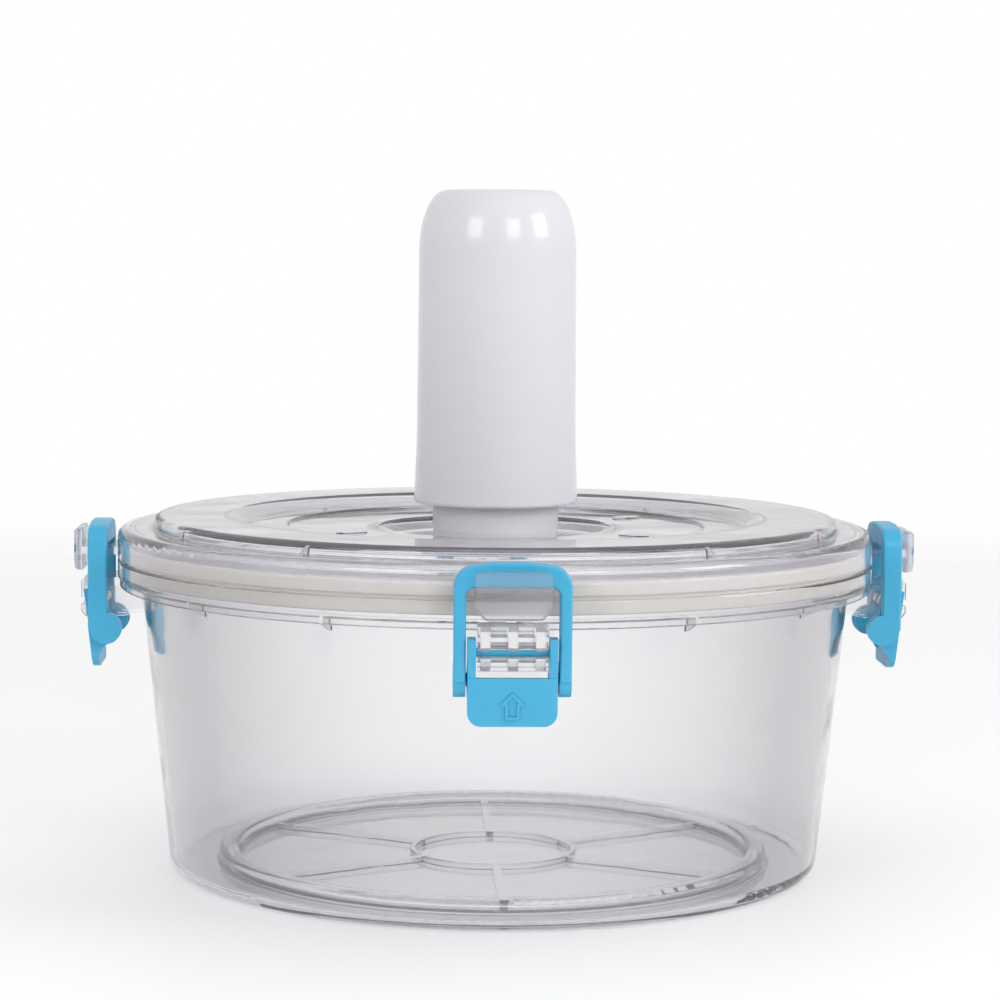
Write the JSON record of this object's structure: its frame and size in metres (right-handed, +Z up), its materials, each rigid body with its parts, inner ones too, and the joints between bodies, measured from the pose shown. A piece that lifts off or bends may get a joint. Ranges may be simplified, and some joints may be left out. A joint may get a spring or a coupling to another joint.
{
  "type": "filament spool container",
  "caption": "Round clear vacuum storage tub for a filament spool, with a sealed lid held by over-centre bail latches and a hand pump over the lid's release valve.",
  "frame": {"origin": "centre of the base, on the surface that the tub stands on", "axes": "+Z up along the tub's axis, -Y towards the front latch, +X to the right"},
  "size_m": [0.2776, 0.2776, 0.2239],
  "materials": {
    "clear_tub": "water-clear moulded plastic",
    "clear_lid": "water-clear moulded plastic",
    "seal": "translucent silicone",
    "valve": "translucent silicone",
    "latch": "satin sky-blue moulded plastic",
    "handle": "glossy white moulded plastic",
    "barrel": "satin light grey moulded plastic",
    "inner": "satin white moulded plastic",
    "dark_rubber": "black rubber",
    "steel": "bright steel"
  },
  "bodies": {
    "tub": {"tub": "clear_tub"},
    "lid": {"lid": "clear_lid", "lid_seal": "seal", "valve_seat": "valve"},
    "valve_plug": {"valve_plug": "valve"},
    "pump_barrel": {"pump_barrel": "barrel", "pump_foot_seal": "dark_rubber", "inlet_flap": "dark_rubber", "barrel_cap": "inner", "rod_bush": "inner", "stroke_bumper": "dark_rubber"},
    "pump_handle": {"pump_handle": "handle", "piston_rod": "steel", "piston_head": "inner", "piston_seal": "dark_rubber", "piston_screw": "steel"},
    "latch_lever_front": {"latch_lever_front": "latch"},
    "latch_bail_front": {"latch_bail_front": "latch"},
    "latch_lever_right": {"latch_lever_right": "latch"},
    "latch_bail_right": {"latch_bail_right": "latch"},
    "latch_lever_back": {"latch_lever_back": "latch"},
    "latch_bail_back": {"latch_bail_back": "latch"},
    "latch_lever_left": {"latch_lever_left": "latch"},
    "latch_bail_left": {"latch_bail_left": "latch"}
  },
  "joints": [
    {"name": "lid_settle", "type": "slide", "parent": "tub", "child": "lid", "axis": [0, 0, -1], "range_m": [0, 0.0004], "stiffness_N_per_m": 60000, "deforming": ["lid_seal"]},
    {"name": "valve_lift", "type": "slide", "parent": "lid", "child": "valve_plug", "axis": [0, 0, 1], "range_m": [0, 0.0013], "stiffness_N_per_m": 200},
    {"name": "pump_lift", "type": "slide", "parent": "lid", "child": "pump_barrel", "axis": [0, 0, 1], "range_m": [0, 0.12]},
    {"name": "pump_stroke", "type": "slide", "parent": "pump_barrel", "child": "pump_handle", "axis": [0, 0, 1], "range_m": [0, 0.062]},
    {"name": "lever_front", "type": "hinge", "parent": "tub", "child": "latch_lever_front", "pos_m": [0, -0.131, 0.08815], "axis": [-1, 0, 0], "range_deg": [0, 105]},
    {"name": "bail_front", "type": "hinge", "parent": "latch_lever_front", "child": "latch_bail_front", "pos_m": [0, -0.128, 0.0798], "axis": [-1, 0, 0], "range_deg": [-80.48, 0]},
    {"name": "lever_right", "type": "hinge", "parent": "tub", "child": "latch_lever_right", "pos_m": [0.131, 0, 0.08815], "axis": [0, -1, 0], "range_deg": [0, 105]},
    {"name": "bail_right", "type": "hinge", "parent": "latch_lever_right", "child": "latch_bail_right", "pos_m": [0.128, 0, 0.0798], "axis": [0, -1, 0], "range_deg": [-80.48, 0]},
    {"name": "lever_back", "type": "hinge", "parent": "tub", "child": "latch_lever_back", "pos_m": [0, 0.131, 0.08815], "axis": [1, 0, 0], "range_deg": [0, 105]},
    {"name": "bail_back", "type": "hinge", "parent": "latch_lever_back", "child": "latch_bail_back", "pos_m": [0, 0.128, 0.0798], "axis": [1, 0, 0], "range_deg": [-80.48, 0]},
    {"name": "lever_left", "type": "hinge", "parent": "tub", "child": "latch_lever_left", "pos_m": [-0.131, 0, 0.08815], "axis": [0, 1, 0], "range_deg": [0, 105]},
    {"name": "bail_left", "type": "hinge", "parent": "latch_lever_left", "child": "latch_bail_left", "pos_m": [-0.128, 0, 0.0798], "axis": [0, 1, 0], "range_deg": [-80.48, 0]}
  ],
  "couplings": [
    {"joint": "bail_front", "follows": "lever_front", "ratio": -0.757},
    {"joint": "bail_right", "follows": "lever_right", "ratio": -0.757},
    {"joint": "bail_back", "follows": "lever_back", "ratio": -0.757},
    {"joint": "bail_left", "follows": "lever_left", "ratio": -0.757}
  ]
}
